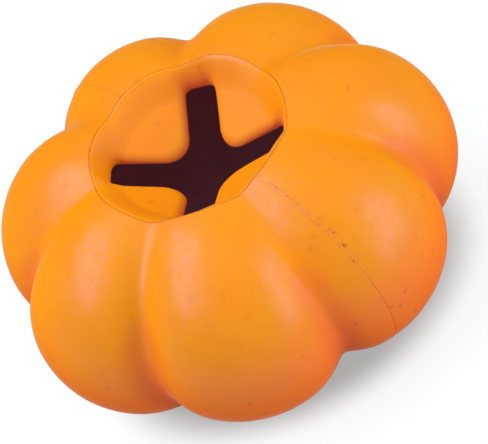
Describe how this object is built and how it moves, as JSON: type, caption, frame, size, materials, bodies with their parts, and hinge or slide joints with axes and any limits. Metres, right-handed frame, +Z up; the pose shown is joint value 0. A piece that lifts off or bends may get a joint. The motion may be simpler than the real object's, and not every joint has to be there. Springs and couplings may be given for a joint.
{
  "type": "dog chew toy",
  "caption": "Hollow rubber treat toy for dogs, shaped like a low lobed pumpkin, with a cross-slotted mouth of bending flaps that holds treats in and lets them out.",
  "frame": {"origin": "centre of the flat base, on the axis of the lobes", "axes": "+Z up through the mouth, +X along the plane where the half shells meet, -Y towards the lobe at the front"},
  "size_m": [0.0988, 0.0975, 0.0509],
  "materials": {
    "orange_rubber": "satin"
  },
  "bodies": {
    "toy_body": {"front_half_shell": "orange_rubber", "rear_half_shell": "orange_rubber", "mouth_ring": "orange_rubber"},
    "right_flap": {"flap_right": "orange_rubber"},
    "rear_flap": {"flap_rear": "orange_rubber"},
    "left_flap": {"flap_left": "orange_rubber"},
    "front_flap": {"flap_front": "orange_rubber"}
  },
  "joints": [
    {"name": "right_flap_hinge", "type": "hinge", "parent": "toy_body", "child": "right_flap", "pos_m": [0.0159, 0, 0.046], "axis": [0, 1, 0], "range_deg": [-55, 45], "stiffness_Nm_per_rad": 0.012},
    {"name": "rear_flap_hinge", "type": "hinge", "parent": "toy_body", "child": "rear_flap", "pos_m": [0, 0.0159, 0.046], "axis": [-1, 0, 0], "range_deg": [-55, 45], "stiffness_Nm_per_rad": 0.012},
    {"name": "left_flap_hinge", "type": "hinge", "parent": "toy_body", "child": "left_flap", "pos_m": [-0.0159, 0, 0.046], "axis": [0, -1, 0], "range_deg": [-55, 45], "stiffness_Nm_per_rad": 0.012},
    {"name": "front_flap_hinge", "type": "hinge", "parent": "toy_body", "child": "front_flap", "pos_m": [0, -0.0159, 0.046], "axis": [1, 0, 0], "range_deg": [-55, 45], "stiffness_Nm_per_rad": 0.012}
  ]
}
